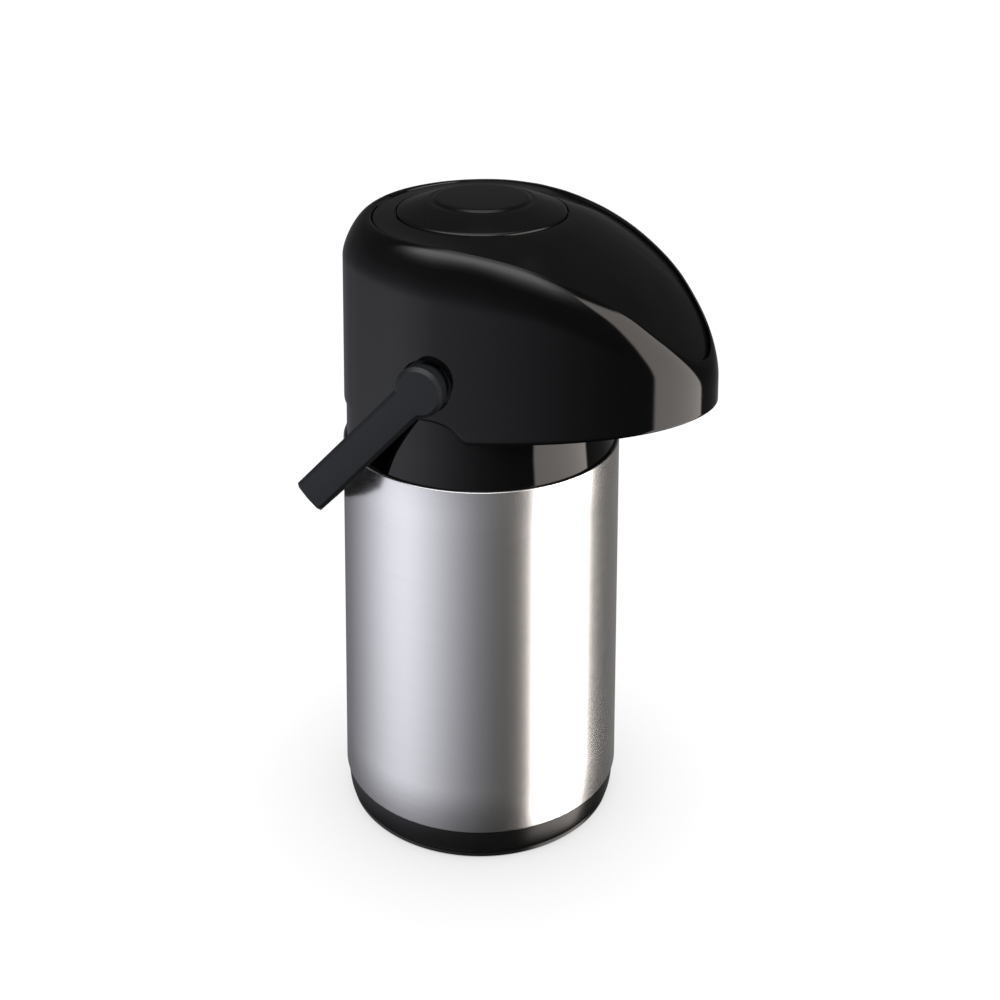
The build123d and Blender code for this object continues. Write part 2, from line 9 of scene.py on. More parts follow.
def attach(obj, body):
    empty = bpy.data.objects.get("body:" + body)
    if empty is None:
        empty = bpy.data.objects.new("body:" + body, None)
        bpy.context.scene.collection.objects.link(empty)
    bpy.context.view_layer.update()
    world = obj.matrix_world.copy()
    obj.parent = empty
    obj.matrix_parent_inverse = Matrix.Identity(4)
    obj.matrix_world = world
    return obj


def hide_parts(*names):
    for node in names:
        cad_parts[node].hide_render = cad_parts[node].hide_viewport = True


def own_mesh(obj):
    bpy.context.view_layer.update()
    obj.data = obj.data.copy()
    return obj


with open("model.json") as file:
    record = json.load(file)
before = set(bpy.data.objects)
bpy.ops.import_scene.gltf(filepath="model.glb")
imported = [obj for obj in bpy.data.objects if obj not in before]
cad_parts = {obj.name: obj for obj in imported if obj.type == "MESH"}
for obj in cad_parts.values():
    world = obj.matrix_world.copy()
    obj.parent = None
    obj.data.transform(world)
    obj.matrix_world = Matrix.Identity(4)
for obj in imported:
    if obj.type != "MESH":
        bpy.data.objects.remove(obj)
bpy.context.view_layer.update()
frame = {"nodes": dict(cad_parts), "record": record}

S = 0.001
scene = bpy.context.scene

# ------------------------------------------------------------------ dimensions, millimetres (as the CAD)
BODY_R, CASING_WALL, CASING_Z0, CASING_Z1 = 65.0, 0.8, 14.4, 177.8
FOOT_TOP = 2.9
COLLAR_R, COLLAR_TOP = 63.4, 213.0
HOOD_R, BEAK, HOOD_WALL = 64.46, 112.79, 2.5
RIM_Z, RIM_SLOPE = 197.9, 0.0935
BUTTON_R, BUTTON_TOP, BUTTON_EDGE, DISC_R = 39.6, 293.0, 285.4, 22.4
PIVOT_Z, HOLE_R, BOSS_R = 224.3, 12.0, 11.4
ARM_X0, ARM_X1, ARM_W, REST = 67.0, 73.1, 15.8, math.radians(43.0)
HINGE_Y, HINGE_Z = 55.5, 282.2
GAP = 0.42


# ------------------------------------------------------------------ mesh helpers
def make(name, verts, faces, smooth=True, angle=None):
    me = bpy.data.meshes.new(name)
    me.from_pydata([tuple(float(c) * S for c in v) for v in verts], [], [tuple(int(i) for i in q) for q in faces])
    ob = bpy.data.objects.new(name, me)
    scene.collection.objects.link(ob)
    bm = bmesh.new()
    bm.from_mesh(me)
    bmesh.ops.remove_doubles(bm, verts=bm.verts, dist=1e-7)
    bmesh.ops.dissolve_degenerate(bm, edges=bm.edges, dist=1e-8)
    bmesh.ops.recalc_face_normals(bm, faces=bm.faces)
    bm.to_mesh(me)
    bm.free()
    if smooth:
        me.shade_smooth()
        if angle is not None:
            me.set_sharp_from_angle(angle=math.radians(angle))
    me.update()
    return ob


def lathe(name, prof, n=192, angle=28.0, axis="Z", closed=True):
    """Closed outline of (radius, height) points turned round an axis."""
    prof = [(float(r), float(h)) for r, h in prof]
    verts, rows = [], []
    for r, h in prof:
        if abs(r) < 1e-6:
            rows.append([len(verts)])
            verts.append((0.0, 0.0, h))
        else:
            rows.append(list(range(len(verts), len(verts) + n)))
            for j in range(n):
                a = 2 * math.pi * j / n
                verts.append((r * math.cos(a), r * math.sin(a), h))
    faces = []
    m = len(rows)
    for i in range(m):
        a, b = rows[i], rows[(i + 1) % m]
        if len(a) == 1 and len(b) == 1:
            continue
        for j in range(n):
            k = (j + 1) % n
            if len(a) == 1:
                faces.append((a[0], b[k], b[j]))
            elif len(b) == 1:
                faces.append((a[j], a[k], b[0]))
            else:
                faces.append((a[j], a[k], b[k], b[j]))
    v = np.array(verts)
    if axis == "X":
        v = v[:, [2, 0, 1]]
    return make(name, v, faces, angle=angle)


def fine(prof, k=6):
    """Returns the outline unchanged."""
    return prof


def arc(cx, cz, r, a0, a1, n=8):
    return [(cx + r * math.cos(math.radians(a0 + (a1 - a0) * i / n)), cz + r * math.sin(math.radians(a0 + (a1 - a0) * i / n))) for i in range(n + 1)]


def grid_faces(rows, n, flip=False):
    faces = []
    for a, b in zip(rows[:-1], rows[1:]):
        for j in range(n):
            k = (j + 1) % n
            faces.append((a + j, a + k, b + k, b + j) if not flip else (a + j, b + j, b + k, a + k))
    return faces


def boolean(ob, cutter, op="DIFFERENCE"):
    m = ob.modifiers.new("cut", "BOOLEAN")
    m.operation, m.object, m.solver = op, cutter, "EXACT"
    dg = bpy.context.evaluated_depsgraph_get()
    dg.update()
    new = bpy.data.meshes.new_from_object(ob.evaluated_get(dg))
    ob.modifiers.clear()
    old = ob.data
    ob.data = new
    bpy.data.meshes.remove(old)
    bpy.data.objects.remove(cutter)
    return ob


def tidy(ob, angle):
    bm = bmesh.new()
    bm.from_mesh(ob.data)
    bmesh.ops.remove_doubles(bm, verts=bm.verts, dist=2e-7)
    bmesh.ops.dissolve_degenerate(bm, edges=bm.edges, dist=2e-7)
    bmesh.ops.recalc_face_normals(bm, faces=bm.faces)
    bm.to_mesh(ob.data)
    bm.free()
    ob.data.shade_smooth()
    ob.data.set_sharp_from_angle(angle=math.radians(angle))
    ob.data.update()


def box(name, x0, x1, y0, y1, z0, z1):
    v = [(x, y, z) for x in (x0, x1) for y in (y0, y1) for z in (z0, z1)]
    f = [(0, 1, 3, 2), (4, 6, 7, 5), (0, 4, 5, 1), (2, 3, 7, 6), (0, 2, 6, 4), (1, 5, 7, 3)]
    return make(name, v, f, smooth=False)


# ------------------------------------------------------------------ procedural materials
def nodes_of(mat):
    mat.use_nodes = True
    nt = mat.node_tree
    nt.nodes.clear()
    return nt


def N(nt, kind, **kw):
    n = nt.nodes.new(kind)
    ins = kw.pop("ins", {})
    for k, v in kw.items():
        setattr(n, k, v)
    for k, v in ins.items():
        s = n.inputs[k]
        if hasattr(v, "is_output"):
            nt.links.new(v, s)
        else:
            s.default_value = v
    return n


def math_node(nt, op, a, b=None, c=None, clamp=False):
    n = nt.nodes.new("ShaderNodeMath")
    n.operation, n.use_clamp = op, clamp
    for i, v in enumerate((a, b, c)):
        if v is None:
            continue
        if hasattr(v, "is_output"):
            nt.links.new(v, n.inputs[i])
        else:
            n.inputs[i].default_value = v
    return n.outputs[0]


def plastic(name, color, rough, ior=1.45, grain=900.0, bump=0.02, rough_var=0.05, wear=0.15, spec=0.5, smear=35.0, coat=0.0, metallic=0.0,
            transmission=0.0, bump_dist=0.0002):
    """Moulded plastic, rubber or metal: fine grain bump, uneven roughness and a little tone drift."""
    mat = bpy.data.materials.new(name)
    nt = nodes_of(mat)
    out = N(nt, "ShaderNodeOutputMaterial")
    tc = N(nt, "ShaderNodeTexCoord")
    fine_n = N(nt, "ShaderNodeTexNoise", ins={"Vector": tc.outputs["Object"], "Scale": grain, "Detail": 3.0, "Roughness": 0.55})
    big = N(nt, "ShaderNodeTexNoise", ins={"Vector": tc.outputs["Object"], "Scale": smear, "Detail": 4.0, "Roughness": 0.6})
    r1 = math_node(nt, "MULTIPLY_ADD", big.outputs["Fac"], rough_var * 2, rough - rough_var)
    r2 = math_node(nt, "MULTIPLY_ADD", fine_n.outputs["Fac"], rough_var * 0.5, r1)
    dark = tuple(c * (1 - wear) for c in color) + (1,)
    light = tuple(min(1.0, c * (1 + wear)) for c in color) + (1,)
    mix = N(nt, "ShaderNodeMix", data_type="RGBA", ins={0: big.outputs["Fac"]})
    mix.inputs[6].default_value, mix.inputs[7].default_value = dark, light
    bmp = N(nt, "ShaderNodeBump", ins={"Height": fine_n.outputs["Fac"], "Strength": bump, "Distance": bump_dist})
    p = N(nt, "ShaderNodeBsdfPrincipled", ins={"Base Color": mix.outputs[2], "Roughness": r2, "IOR": ior, "Normal": bmp.outputs[0], "Metallic": metallic,
                                               "Specular IOR Level": spec, "Coat Weight": coat, "Coat Roughness": 0.05, "Transmission Weight": transmission})
    nt.links.new(p.outputs[0], out.inputs[0])
    return mat


def steel(name):
    """Brushed casing: fine rings round the body and mottled roughness."""
    mat = bpy.data.materials.new(name)
    nt = nodes_of(mat)
    out = N(nt, "ShaderNodeOutputMaterial")
    tc = N(nt, "ShaderNodeTexCoord")
    sep = N(nt, "ShaderNodeSeparateXYZ", ins={0: tc.outputs["Object"]})
    ang = math_node(nt, "ARCTAN2", sep.outputs[1], sep.outputs[0])
    ca = math_node(nt, "MULTIPLY", math_node(nt, "COSINE", ang), 0.35)
    sa = math_node(nt, "MULTIPLY", math_node(nt, "SINE", ang), 0.35)
    zz = math_node(nt, "MULTIPLY", sep.outputs[2], 900.0)
    v1 = N(nt, "ShaderNodeCombineXYZ", ins={0: ca, 1: sa, 2: zz})
    lines = N(nt, "ShaderNodeTexNoise", ins={"Vector": v1.outputs[0], "Scale": 4.0, "Detail": 4.0, "Roughness": 0.65})
    zz2 = math_node(nt, "MULTIPLY", sep.outputs[2], 260.0)
    v2 = N(nt, "ShaderNodeCombineXYZ", ins={0: math_node(nt, "MULTIPLY", ca, 30.0), 1: math_node(nt, "MULTIPLY", sa, 30.0), 2: zz2})
    mott = N(nt, "ShaderNodeTexNoise", ins={"Vector": v2.outputs[0], "Scale": 1.0, "Detail": 5.0, "Roughness": 0.7})
    big = N(nt, "ShaderNodeTexNoise", ins={"Vector": tc.outputs["Object"], "Scale": 14.0, "Detail": 3.0})
    rough = math_node(nt, "MULTIPLY_ADD", lines.outputs["Fac"], 0.04, 0.185)
    rough = math_node(nt, "MULTIPLY_ADD", mott.outputs["Fac"], 0.05, rough)
    mix = N(nt, "ShaderNodeMix", data_type="RGBA", ins={0: lines.outputs["Fac"]})
    mix.inputs[6].default_value = (0.60, 0.595, 0.59, 1)
    mix.inputs[7].default_value = (0.68, 0.675, 0.67, 1)
    hgt = math_node(nt, "MULTIPLY_ADD", mott.outputs["Fac"], 0.6, math_node(nt, "MULTIPLY", lines.outputs["Fac"], 0.4))
    bmp = N(nt, "ShaderNodeBump", ins={"Height": hgt, "Strength": 0.10, "Distance": 0.00015})
    p = N(nt, "ShaderNodeBsdfPrincipled", ins={"Base Color": mix.outputs[2], "Roughness": rough, "Metallic": 1.0, "Normal": bmp.outputs[0]})
    wide = N(nt, "ShaderNodeBsdfPrincipled", ins={"Base Color": mix.outputs[2], "Roughness": 0.46, "Metallic": 1.0, "Normal": bmp.outputs[0]})
    both = N(nt, "ShaderNodeMixShader", ins={0: 0.2, 1: p.outputs[0], 2: wide.outputs[0]})
    nt.links.new(both.outputs[0], out.inputs[0])
    return mat


GLOSS = plastic("gloss_black", (0.0018, 0.0018, 0.0019), 0.045, spec=0.27, ior=1.45, grain=700, bump=0.012, rough_var=0.012, wear=0.3, smear=60)
HOODM = plastic("gloss_black_hood", (0.0018, 0.0018, 0.002), 0.07, spec=0.27, ior=1.45, grain=700, bump=0.012, rough_var=0.015, wear=0.3, smear=60)
SATIN = plastic("satin_black", (0.0025, 0.0025, 0.0025), 0.15, spec=0.27, ior=1.45, grain=1500, bump=0.05, rough_var=0.03, wear=0.3, smear=45)
BUTTON = plastic("satin_black_button", (0.0025, 0.0025, 0.0025), 0.18, spec=0.27, ior=1.45, grain=1500, bump=0.05, rough_var=0.03, wear=0.3, smear=45)
HANDLE = plastic("handle_grey", (0.0072, 0.0083, 0.0098), 0.42, spec=0.3, ior=1.45, grain=1300, bump=0.10, rough_var=0.05, wear=0.15, smear=50)
BASE = plastic("base_black", (0.005, 0.005, 0.005), 0.24, spec=0.27, ior=1.45, grain=1100, bump=0.06, rough_var=0.05, wear=0.25)
RUBBER = plastic("rubber_dark", (0.02, 0.02, 0.02), 0.75, grain=1000, bump=0.25, rough_var=0.06)
INNER = plastic("inner_plastic", (0.035, 0.035, 0.037), 0.45, grain=900, bump=0.12, rough_var=0.06)
SILICONE = plastic("silicone", (0.5, 0.5, 0.48), 0.5, grain=900, bump=0.12, rough_var=0.06, wear=0.06)
TUBE = plastic("clear_tube", (0.7, 0.71, 0.68), 0.3, grain=600, bump=0.06, rough_var=0.05, wear=0.05, transmission=0.55)
BRIGHT = plastic("bright_steel", (0.62, 0.62, 0.62), 0.16, grain=1200, bump=0.05, rough_var=0.04, metallic=1.0, wear=0.08)
SILVER = plastic("silvered_glass", (0.78, 0.8, 0.8), 0.05, grain=300, bump=0.02, rough_var=0.02, metallic=1.0, wear=0.04)
STEEL = steel("brushed_casing")

SLOTS = {"gloss_black": GLOSS, "satin_black": SATIN, "handle_grey": HANDLE, "base_black": BASE, "rubber_dark": RUBBER, "inner_plastic": INNER,
         "silicone": SILICONE, "clear_tube": TUBE, "bright_steel": BRIGHT, "silvered_glass": SILVER, "brushed_casing": STEEL}
for part in frame["record"]["subparts"]:
    ob = frame["nodes"].get(part["node"])
    if ob is not None and part["material_slot"] in SLOTS:
        ob.data.materials.clear()
        ob.data.materials.append(SLOTS[part["material_slot"]])


def place(ob, mat, body, slot, *nodes):
    ob.data.materials.clear()
    ob.data.materials.append(mat)
    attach(ob, body)
    if nodes:
        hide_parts(*nodes)
    return ob


# ------------------------------------------------------------------ top surface of hood and lid
CROWN = [(-80, 284.8, .0004), (-35, 285.0, .0004), (0, 285.0, .0004), (19.5, 285.0, .0011), (29.3, 285.0, .00185),
         (39.7, 284.7, .003), (48.8, 281.2, .003), (55.3, 278.1, .003), (62.8, 273.9, .003), (71.5, 268.0, .003),
         (78.5, 262.9, .003), (86.2, 256.2, .003), (93.5, 247.8, .003), (100.8, 238.0, .003), (107.9, 227.8, .003), (116.0, 215.5, .003)]


def pchip(table, u, col):
    n = len(table)
    d = [(table[i + 1][col] - table[i][col]) / (table[i + 1][0] - table[i][0]) for i in range(n - 1)]
    m = [d[0]] + [0.0 if d[i - 1] * d[i] <= 0 else 2 * d[i - 1] * d[i] / (d[i - 1] + d[i]) for i in range(1, n - 1)] + [d[-1]]
    u = min(max(u, table[0][0]), table[-1][0])
    i = min(max(j for j in range(n) if table[j][0] <= u), n - 2)
    h = table[i + 1][0] - table[i][0]
    t = (u - table[i][0]) / h
    return (table[i][col] * (2 * t ** 3 - 3 * t * t + 1) + m[i] * h * (t ** 3 - 2 * t * t + t)
            + table[i + 1][col] * (3 * t * t - 2 * t ** 3) + m[i + 1] * h * (t ** 3 - t * t))


U_AX = np.arange(-90.0, 130.01, 0.5)
_zc = np.array([pchip(CROWN, u, 1) + (0 if u <= 116 else -(u - 116) * 1.52) for u in U_AX])
_kc = np.array([pchip(CROWN, u, 2) for u in U_AX])


def blur(a, sig, step, periodic=False):
    k = int(4 * sig / step)
    w = np.exp(-0.5 * (np.arange(-k, k + 1) * step / sig) ** 2)
    w /= w.sum()
    if periodic:
        b = np.concatenate([a[-k:], a, a[:k]])
    else:
        b = np.concatenate([2 * a[0] - a[k:0:-1], a, 2 * a[-1] - a[-2:-k - 2:-1]])
    return np.convolve(b, w, "valid")


_zs = blur(_zc, 4.5, 0.5)
_ks = blur(_kc, 6.0, 0.5)


def crown(x, y):
    u = -np.asarray(y, float)
    return np.interp(u, U_AX, _zs) - np.interp(u, U_AX, _ks) * np.asarray(x, float) ** 2


# ------------------------------------------------------------------ outlines
def bez(p, t):
    t = np.asarray(t, float)[:, None]
    p = [np.array(q, float)[None] for q in p]
    return p[0] * (1 - t) ** 3 + 3 * p[1] * t * (1 - t) ** 2 + 3 * p[2] * t * t * (1 - t) + p[3] * t ** 3


def hood_loop(inset, ts, ta):
    """Plan of the hood moved inwards by inset: beak side, beak side, then the round back."""
    r = HOOD_R - inset
    u0 = 5.45 * r / HOOD_R
    w0 = math.sqrt(r * r - u0 * u0)
    reach = BEAK - inset
    a, b = 95.29 * (1 - 0.011 * inset), 14.3 * (1 - 0.03 * inset)
    tx, ty = u0 / r, w0 / r
    right = bez([(w0, -u0), (w0 - a * tx, -u0 - a * ty), (b, -reach), (0, -reach)], ts)
    left = right[::-1].copy()
    left[:, 0] *= -1
    th0 = math.atan2(-u0, -w0)
    th1 = math.atan2(-u0, w0)
    ang = th0 + (th1 - 2 * math.pi - th0 if th1 > th0 else th1 - th0) * np.asarray(ta)
    # from the left shoulder round the back to the right shoulder, clockwise seen from above
    a0, a1 = math.atan2(-u0, -w0), math.atan2(-u0, w0)
    a0 = a0 if a0 > 0 else a0 + 2 * math.pi
    ang = a0 + (a1 - a0) * np.asarray(ta)
    back = np.stack([r * np.cos(ang), r * np.sin(ang)], -1)
    return np.concatenate([right[:-1], left[:-1], back[:-1]])


# even spacing along the outline
_t = np.linspace(0, 1, 4001)
_p = hood_loop(0.0, _t, [0, 1])[:4000]
_l = np.concatenate([[0], np.cumsum(np.hypot(*np.diff(_p, axis=0).T))])
N_SIDE, N_BACK = 112, 176
TS = np.interp(np.linspace(0, _l[-1], N_SIDE + 1), _l, _t[:4000])
TS[-1] = 1.0
TA = np.linspace(0, 1, N_BACK + 1)
OUT = hood_loop(0.0, TS, TA)
NCOL = len(OUT)
tan = np.roll(OUT, -1, 0) - np.roll(OUT, 1, 0)
tan /= np.linalg.norm(tan, axis=1)[:, None]
INW = np.stack([tan[:, 1], -tan[:, 0]], -1)
if (INW[0] @ (-OUT[0])) < 0:
    INW = -INW

# crest of the hood's lip round the lid: (ahead, across) and its height
SIDE = [(0, 55.8), (6, 55.85), (12.4, 55.6), (20.9, 54.9), (29.4, 53.4), (37.8, 51.7), (46.3, 50.0), (54.7, 48.0), (62.8, 45.4), (67.5, 43.5), (72.9, 41.2),
        (78.5, 38.6), (86.2, 34.3), (93.5, 29.4), (98.0, 25.9), (101.5, 22.2), (104.3, 17.9), (106.6, 12.8), (108.2, 7.0)]
TIP, REAR_U = 109.0, -50.6
CREST_Z = [(-60, 284.7, 0), (-38, 284.8, 0), (-15, 284.95, 0), (5, 284.5, 0), (15, 283.6, 0), (25, 282.2, 0), (40, 278.8, 0), (55, 273.4, 0), (70, 266.1, 0), (84, 257.1, 0), (96, 245.5, 0), (104, 236.4, 0), (110, 229.0, 0)]
DEPTH = [(-60, 0.35, 0), (-20, 0.45, 0), (10, 1.0, 0), (25, 1.8, 0), (40, 2.2, 0), (80, 2.4, 0), (112, 2.6, 0)]
SHOULDER = [(-60, -.60, 0), (-38, -.42, 0), (-18, -.10, 0), (0, .16, 0), (20, .40, 0), (40, .55, 0), (60, .70, 0), (85, .90, 0), (112, 1.3, 0)]


def tab(table, u):
    return np.array([pchip(table, float(q), 1) for q in np.atleast_1d(u)])


def groove_loop():
    pts = [(w, -u) for u, w in SIDE] + [(0, -TIP)] + [(-w, -u) for u, w in SIDE[::-1]]
    a = np.linspace(math.pi, 0, 60)[1:-1]
    pts += [(SIDE[0][1] * math.cos(q), -REAR_U * math.sin(q)) for q in a]
    p = np.array(pts, float)
    q = np.concatenate([p, p[:1]])
    l = np.concatenate([[0], np.cumsum(np.hypot(*np.diff(q, axis=0).T))])
    g = np.linspace(0, l[-1], 1441)[:-1]
    step = l[-1] / 1440
    c = np.stack([np.interp(g, l, q[:, 0]), np.interp(g, l, q[:, 1])], -1)
    return np.stack([blur(c[:, 0], 2.2, step, True), blur(c[:, 1], 2.2, step, True)], -1)


GRV = groove_loop()


def offset_loop(c, d):
    t = np.roll(c, -3, 0) - np.roll(c, 3, 0)
    t /= np.linalg.norm(t, axis=1)[:, None]
    n = np.stack([t[:, 1], -t[:, 0]], -1)
    s = np.sign(np.mean(np.sum(n * (c - c.mean(0)), 1)))
    return c + n * s * d


GRV_OUT = GRV
GRV_IN = offset_loop(GRV, -1.05)


def hit(loop, p, d):
    """Where the ray from p along d meets the loop; returns the position along it."""
    a, b = loop, np.roll(loop, -1, 0)
    e = b - a
    den = d[0] * e[:, 1] - d[1] * e[:, 0]
    den = np.where(np.abs(den) < 1e-12, 1e-12, den)
    r = a - p
    t = (r[:, 0] * e[:, 1] - r[:, 1] * e[:, 0]) / den
    s = (r[:, 0] * d[1] - r[:, 1] * d[0]) / den
    ok = (t > 0.2) & (s >= -1e-6) & (s <= 1 + 1e-6)
    k = np.where(ok)[0]
    k = k[np.argmin(t[k])]
    return p + d * t[k], k + s[k]


LIP = np.array([hit(GRV_OUT, OUT[i], INW[i])[0] for i in range(NCOL)])
# even the spacing of the lip points a little
LIP = np.stack([blur(LIP[:, 0], 1.0, 1.0, True), blur(LIP[:, 1], 1.0, 1.0, True)], -1)
LIP = np.array([GRV_OUT[np.argmin(((GRV_OUT - q) ** 2).sum(1))] * 0 + q for q in LIP])

WALL = [(-80, 266), (-62, 266), (-36, 266), (-15, 264), (15, 261), (48, 257), (68, 249.5), (82, 241), (94, 232), (110, 220.5), (116, 214)]


def wall_top(u):
    return pchip([(a, b, 0) for a, b in WALL], u, 1)


def arch_z(y):
    a = abs(y)
    if a >= 19.5:
        return 0.0
    if a >= 17.3:
        return 198.0 + (19.5 - a) / 2.2 * 2.4
    if a >= 12.2:
        return 200.4 + (17.3 - a) / 5.1 * 5.1
    # circle through (12.2, 205.5) and (0, 208.4)
    h = 2.9
    r = (12.2 ** 2 + h * h) / (2 * h)
    return 208.4 - r + math.sqrt(r * r - a * a)


def rim_z(x, y):
    z = RIM_Z + RIM_SLOPE * max(-y, 0.0)
    return max(z, arch_z(y)) if abs(x) > 30 else z


rimz = np.array([rim_z(*p) for p in OUT])
u_out = -OUT[:, 1]
gapv = OUT - LIP
gap = np.linalg.norm(gapv, axis=1)
gdir = gapv / gap[:, None]
z_lip = tab(CREST_Z, -LIP[:, 1])
slope = -tab(SHOULDER, -LIP[:, 1])
dep = tab(DEPTH, -LIP[:, 1])
z_x = z_lip + slope * gap
z_wall = np.array([wall_top(u) for u in u_out])
z_wall = np.minimum(z_wall, z_x - 2.5)
z_wall = blur(z_wall, 2.0, 1.0, True)
slope = blur(slope, 2.0, 1.0, True)
z_x = z_lip + slope * gap


# how full the rounding is: (ahead, at the wall, at the lip)
FULL = [(-60, .20, .404), (-38, .25, .40), (-15, .38, .38), (10, .45, .40), (45, .47, .40), (70, .52, .46), (95, .58, .58), (112, .60, .62)]
KA = np.array([pchip(FULL, float(u), 1) for u in -LIP[:, 1]])
KB = np.array([pchip(FULL, float(u), 2) for u in -LIP[:, 1]])


def fillet_pts(inset, t):
    """Point on the rounded shoulder of the hood, from the wall top (t=0) to the groove (t=1)."""
    o = OUT + INW * inset
    l = LIP
    g = np.linalg.norm(o - l, axis=1)
    zx = z_lip - inset + slope * g
    p0 = np.concatenate([o, (z_wall - inset * 0.6)[:, None]], 1)
    p3 = np.concatenate([l, (z_lip - inset)[:, None]], 1)
    X = np.concatenate([o, zx[:, None]], 1)
    p1 = p0 + KA[:, None] * (X - p0)
    p2 = p3 + KB[:, None] * (X - p3)
    return p0 * (1 - t) ** 3 + 3 * p1 * t * (1 - t) ** 2 + 3 * p2 * t * t * (1 - t) + p3 * t ** 3


# ------------------------------------------------------------------ hood
def hood_mesh():
    rows = []

    def add(xy, z):
        rows.append(np.concatenate([xy, np.asarray(z, float)[:, None]], 1))

    lap = np.where(np.abs(OUT[:, 1]) < 17.0, 211.6, 212.0)
    in_hi = OUT + INW * HOOD_WALL
    r_hi = np.linalg.norm(in_hi, axis=1)
    lap_r = COLLAR_R + 0.05
    in_lo = in_hi * np.maximum(1.0, lap_r / r_hi)[:, None]
    zr = rimz
    # rounded rim, then the outer wall
    add(OUT + INW * 0.55, zr)
    add(OUT + INW * 0.16, zr + 0.14)
    add(OUT, zr + 0.5)
    nw = 26
    for i in range(1, nw + 1):
        add(OUT, zr + 0.5 + (z_wall - zr - 0.5) * i / nw)
    nf = 20
    for i in range(1, nf):
        rows.append(fillet_pts(0.0, i / nf))
    rows.append(fillet_pts(0.0, 0.975))
    rows.append(fillet_pts(0.0, 0.99))
    inw = -gdir
    rows.append(np.concatenate([LIP + inw * 0.12, (z_lip - 0.02)[:, None]], 1))
    rows.append(np.concatenate([LIP + inw * 0.26, (z_lip - 0.12)[:, None]], 1))
    rows.append(np.concatenate([LIP + inw * 0.38, (z_lip - 0.36)[:, None]], 1))
    rows.append(np.concatenate([LIP + inw * 0.62, (z_lip - 1.6 - dep * 0.6)[:, None]], 1))
    rows.append(np.concatenate([LIP + inw * 0.62, (z_lip - 2.2 - dep)[:, None]], 1))
    for i in range(9, 0, -1):
        rows.append(fillet_pts(HOOD_WALL, i / 10.0))
    zi = z_wall - HOOD_WALL * 0.6
    for i in range(14, 0, -1):
        add(in_hi, lap + (zi - lap) * i / 14.0)
    add(in_hi, lap)
    add(in_lo, lap)
    add(in_lo, zr + (lap - zr) * 0.5)
    add(in_lo, zr)
    v = np.concatenate(rows)
    idx = [i * NCOL for i in range(len(rows))]
    f = grid_faces(idx + [0], NCOL)
    return make("hood_skin", v, f, angle=40)


hood = hood_mesh()
cut = lathe("cut_a", [(0, -90), (HOLE_R, -90), (HOLE_R, 90), (0, 90)], n=96, axis="X")
for v in cut.data.vertices:
    v.co.z += PIVOT_Z * S
hood = boolean(hood, cut)


def prism_x(name, prof, xs, zfun=None, smooth=True, angle=25):
    """Outline of (y, z) points carried along X."""
    verts, faces = [], []
    n = len(prof)
    for x in xs:
        for k, (y, z) in enumerate(prof):
            verts.append((x, y, zfun(x, y, z, k) if zfun else z))
    for i in range(len(xs) - 1):
        for k in range(n):
            l = (k + 1) % n
            faces.append((i * n + k, i * n + l, (i + 1) * n + l, (i + 1) * n + k))
    faces.append(tuple(range(n)))
    faces.append(tuple(range((len(xs) - 1) * n, len(xs) * n))[::-1])
    return make(name, verts, faces, smooth=smooth, angle=angle)


TONGUE = 7.8
pocket = [(49.0, 277.0), (56.4, 277.0), (57.6, 278.6), (57.6, 289.0), (49.0, 289.0)]
hood = boolean(hood, prism_x("cut_b", pocket, [-TONGUE - 0.2, TONGUE + 0.2], smooth=False))
tidy(hood, 40)
place(hood, HOODM, "pot", "gloss_black", "hood_shell")

flange = lathe("hood_flange", [(53.0, COLLAR_TOP + 0.1), (61.8, COLLAR_TOP + 0.1), (61.8, COLLAR_TOP + 3.0), (53.0, COLLAR_TOP + 3.0)], n=128)
for s in (-1, 1):
    flange = boolean(flange, box("cut_c", min(s * 50, s * 70), max(s * 50, s * 70), -13.5, 13.5, 200, 230))
flange = boolean(flange, box("cut_d", -8, 8, -70, -48, 200, 230))
tidy(flange, 30)
place(flange, INNER, "pot", "inner_plastic")

for s, nm in ((-1, "l"), (1, "r")):
    ck = box("hinge_cheek_" + nm, min(s * 8.1, s * 11.2), max(s * 8.1, s * 11.2), 53.8, 56.6, 275.4, 279.4)
    place(ck, INNER, "pot", "inner_plastic")


# ------------------------------------------------------------------ lid
def rear_z(x, y):
    """Height of the ledge behind the groove, on the hood's rounded back."""
    r = math.hypot(x, y)
    p0, p1, p2, p3 = REAR
    best = None
    for i in range(201):
        t = i / 200
        rr = p0[0] * (1 - t) ** 3 + 3 * p1[0] * t * (1 - t) ** 2 + 3 * p2[0] * t * t * (1 - t) + p3[0] * t ** 3
        zz = p0[1] * (1 - t) ** 3 + 3 * p1[1] * t * (1 - t) ** 2 + 3 * p2[1] * t * t * (1 - t) + p3[1] * t ** 3
        if best is None or abs(rr - r) < best[0]:
            best = (abs(rr - r), zz)
    return best[1]


_j = int(np.argmax(OUT[:, 1]))
_a = [fillet_pts(0.0, t)[_j] for t in (0.0, 1.0)]
_gx = np.linalg.norm(OUT[_j] - LIP[_j])
_X = (math.hypot(*OUT[_j]), z_x[_j])
_P0 = (math.hypot(_a[0][0], _a[0][1]), _a[0][2])
_P3 = (math.hypot(_a[1][0], _a[1][1]), _a[1][2])
REAR = (_P0, (_P0[0] + KA[_j] * (_X[0] - _P0[0]), _P0[1] + KA[_j] * (_X[1] - _P0[1])), (_P3[0] + KB[_j] * (_X[0] - _P3[0]), _P3[1] + KB[_j] * (_X[1] - _P3[1])), _P3)


